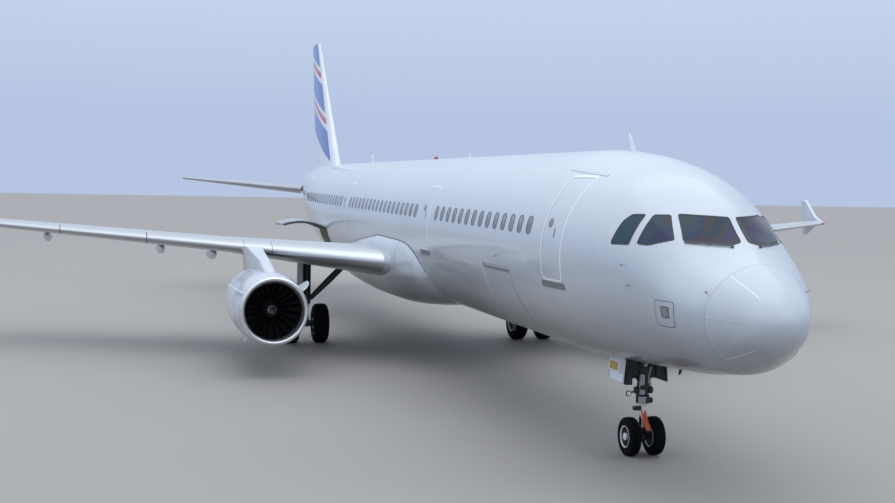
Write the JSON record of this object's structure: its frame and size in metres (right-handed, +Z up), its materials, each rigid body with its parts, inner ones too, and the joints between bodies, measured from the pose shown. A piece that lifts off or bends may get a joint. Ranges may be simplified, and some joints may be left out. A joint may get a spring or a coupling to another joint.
{
  "type": "twin-engined narrow-body airliner, half-size scale model",
  "caption": "Half-size model of a single-aisle twin-engined airliner parked on its gear, with turning wheels and fans, moving control surfaces and hinged cargo doors.",
  "frame": {"origin": "on the ground, under the middle of the aircraft's length and width", "axes": "+X points to the nose, +Y to port, +Z up"},
  "size_m": [22.255, 17.05, 5.88],
  "materials": {
    "silver_paint": "pale silver-grey mica paint under gloss lacquer",
    "grey_paint": "satin grey composite and alloy paint",
    "radome_paint": "painted glass-fibre radome",
    "tail_paint": "blue, red and white bands in gloss paint",
    "bare_alloy": "polished bare alloy leading edge",
    "gear_steel": "grey painted and chromed landing gear steel",
    "wheel_white": "white enamelled wheel halves",
    "tyre": "black ribbed tyre rubber, dusty on the shoulder",
    "glazing": "dark coated flight deck panes",
    "engine_dark": "dark engine casings and hot nozzle",
    "fan_titanium": "dark titanium blades and painted spinner"
  },
  "bodies": {
    "airframe": {"flight_deck_glazing": "glazing", "radome": "radome_paint", "nose_section": "silver_paint", "centre_fuselage": "silver_paint", "rear_fuselage": "silver_paint", "belly_fairing": "silver_paint", "nose_leg": "gear_steel", "fin": "tail_paint", "wing_left": "silver_paint", "slats_left": "bare_alloy", "flap_inner_left": "grey_paint", "flap_outer_left": "grey_paint", "wingtip_fence_left": "silver_paint", "intake_lip_left": "bare_alloy", "cowl_left": "silver_paint", "engine_core_left": "engine_dark", "pylon_left": "silver_paint", "nose_gear_door_left": "silver_paint", "main_gear_leg_left": "gear_steel", "side_stay_left": "gear_steel", "main_gear_door_left": "silver_paint", "wing_right": "silver_paint", "slats_right": "bare_alloy", "flap_inner_right": "grey_paint", "flap_outer_right": "grey_paint", "wingtip_fence_right": "silver_paint", "intake_lip_right": "bare_alloy", "cowl_right": "silver_paint", "engine_core_right": "engine_dark", "pylon_right": "silver_paint", "nose_gear_door_right": "silver_paint", "main_gear_leg_right": "gear_steel", "side_stay_right": "gear_steel", "main_gear_door_right": "silver_paint"},
    "nose_steering": {"nose_steering_leg": "gear_steel"},
    "nose_wheels": {"tyre_nose_left": "tyre", "rim_nose_left": "wheel_white", "tyre_nose_right": "tyre", "rim_nose_right": "wheel_white"},
    "main_wheels_left": {"tyre_main_left_outer": "tyre", "rim_main_left_outer": "wheel_white", "tyre_main_left_inner": "tyre", "rim_main_left_inner": "wheel_white"},
    "main_wheels_right": {"tyre_main_right_outer": "tyre", "rim_main_right_outer": "wheel_white", "tyre_main_right_inner": "tyre", "rim_main_right_inner": "wheel_white"},
    "fan_left": {"fan_left": "fan_titanium"},
    "fan_right": {"fan_right": "fan_titanium"},
    "aileron_left": {"aileron_left": "silver_paint"},
    "aileron_right": {"aileron_right": "silver_paint"},
    "spoilers_left": {"spoilers_left": "grey_paint"},
    "spoilers_right": {"spoilers_right": "grey_paint"},
    "tailplane": {"tailplane": "silver_paint"},
    "elevator_left": {"elevator_left": "silver_paint"},
    "elevator_right": {"elevator_right": "silver_paint"},
    "rudder": {"rudder": "tail_paint"},
    "cargo_door_fwd": {"cargo_door_fwd": "silver_paint"},
    "cargo_door_aft": {"cargo_door_aft": "silver_paint"}
  },
  "joints": [
    {"name": "nose_steering_turn", "type": "hinge", "parent": "airframe", "child": "nose_steering", "pos_m": [8.5925, 0, 0.59], "axis": [0, 0, 1], "range_deg": [-75, 75]},
    {"name": "nose_wheels_roll", "type": "hinge", "parent": "nose_steering", "child": "nose_wheels", "pos_m": [8.5925, 0, 0.18635], "axis": [0, 1, 0], "continuous": true},
    {"name": "main_wheels_left_roll", "type": "hinge", "parent": "airframe", "child": "main_wheels_left", "pos_m": [0.1375, 1.8975, 0.3114], "axis": [0, 1, 0], "continuous": true},
    {"name": "main_wheels_right_roll", "type": "hinge", "parent": "airframe", "child": "main_wheels_right", "pos_m": [0.1375, -1.8975, 0.3114], "axis": [0, 1, 0], "continuous": true},
    {"name": "fan_left_spin", "type": "hinge", "parent": "airframe", "child": "fan_left", "pos_m": [3.14, 2.875, 0.875], "axis": [1, 0, 0], "continuous": true},
    {"name": "fan_right_spin", "type": "hinge", "parent": "airframe", "child": "fan_right", "pos_m": [3.14, -2.875, 0.875], "axis": [1, 0, 0], "continuous": true},
    {"name": "aileron_left_hinge", "type": "hinge", "parent": "airframe", "child": "aileron_left", "pos_m": [-1.22347, 6.45, 1.80185], "axis": [-0.3316, 0.9408, 0.0702], "range_deg": [-25, 25]},
    {"name": "aileron_right_hinge", "type": "hinge", "parent": "airframe", "child": "aileron_right", "pos_m": [-1.22347, -6.45, 1.80185], "axis": [0.3316, 0.9408, -0.0702], "range_deg": [-25, 25]},
    {"name": "spoilers_left_hinge", "type": "hinge", "parent": "airframe", "child": "spoilers_left", "pos_m": [0.17431, 3.45, 1.6798], "axis": [-0.3663, 0.9288, 0.0557], "range_deg": [0, 50]},
    {"name": "spoilers_right_hinge", "type": "hinge", "parent": "airframe", "child": "spoilers_right", "pos_m": [0.17431, -3.45, 1.6798], "axis": [0.3663, 0.9288, -0.0557], "range_deg": [0, 50]},
    {"name": "tailplane_trim", "type": "hinge", "parent": "airframe", "child": "tailplane", "pos_m": [-9.2475, 0, 2.38], "axis": [0, 1, 0], "range_deg": [-4, 13.5]},
    {"name": "elevator_left_hinge", "type": "hinge", "parent": "tailplane", "child": "elevator_left", "pos_m": [-9.57974, 0.75, 2.386], "axis": [-0.2703, 0.9597, 0.0768], "range_deg": [-17, 30]},
    {"name": "elevator_right_hinge", "type": "hinge", "parent": "tailplane", "child": "elevator_right", "pos_m": [-9.57974, -0.75, 2.386], "axis": [0.2703, 0.9597, -0.0768], "range_deg": [-17, 30]},
    {"name": "rudder_hinge", "type": "hinge", "parent": "airframe", "child": "rudder", "pos_m": [-9.37185, 0, 3.075], "axis": [-0.4012, 0, 0.916], "range_deg": [-25, 25]},
    {"name": "cargo_door_fwd_hinge", "type": "hinge", "parent": "airframe", "child": "cargo_door_fwd", "pos_m": [6.905, -0.94533, 1.7], "axis": [-1, 0, 0], "range_deg": [0, 130]},
    {"name": "cargo_door_aft_hinge", "type": "hinge", "parent": "airframe", "child": "cargo_door_aft", "pos_m": [-3.77, -0.94533, 1.7], "axis": [-1, 0, 0], "range_deg": [-130, 0]}
  ]
}
